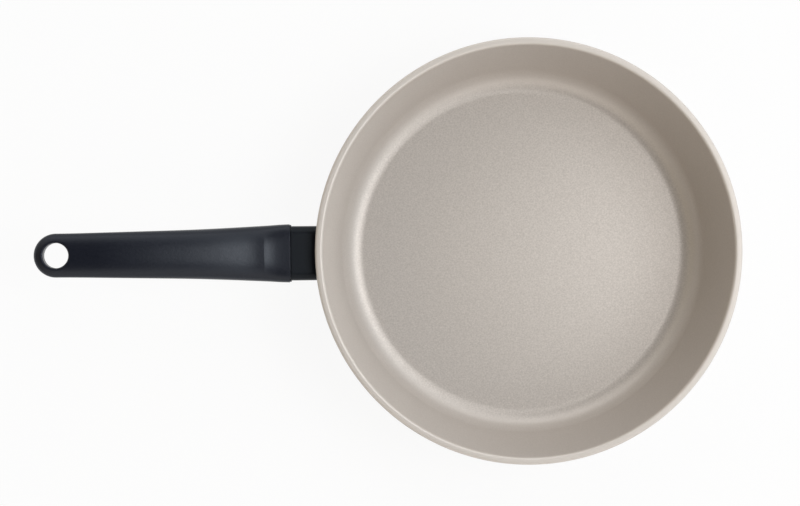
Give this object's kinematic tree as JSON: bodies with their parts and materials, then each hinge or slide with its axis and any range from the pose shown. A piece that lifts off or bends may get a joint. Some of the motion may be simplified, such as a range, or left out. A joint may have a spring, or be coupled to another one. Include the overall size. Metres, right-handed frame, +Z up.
{
  "type": "frying pan",
  "caption": "Deep round frying pan with a pale non-stick coating, sloped wall, flat rim and a long dark moulded handle with a hanging hole at its tail.",
  "frame": {"origin": "middle of the flat face that the pan stands on, under the middle of the floor", "axes": "+Z up, -X along the handle from the pan to its tail, +Y to the left for someone who holds the handle"},
  "size_m": [0.4686, 0.286, 0.0905],
  "materials": {
    "pan_coating": "cast aluminium with a warm grey, slightly pearly non-stick coating, satin",
    "disc_steel": "turned stainless steel",
    "bracket_steel": "stamped stainless steel",
    "screw_steel": "zinc plated steel",
    "guard_black": "black baked enamel, satin",
    "handle_plastic": "moulded phenolic with a soft-touch satin finish",
    "insert_brass": "turned brass"
  },
  "bodies": {
    "root": {"pan_body": "pan_coating", "induction_disc": "disc_steel", "handle_bracket": "bracket_steel", "bracket_screw_left": "screw_steel", "bracket_screw_right": "screw_steel", "lock_washer_left": "screw_steel", "lock_washer_right": "screw_steel", "flame_guard": "guard_black", "handle_upper": "handle_plastic", "handle_lower": "handle_plastic", "clamp_screw": "screw_steel", "clamp_washer": "screw_steel", "clamp_insert": "insert_brass", "tail_screw": "screw_steel"}
  },
  "joints": []
}
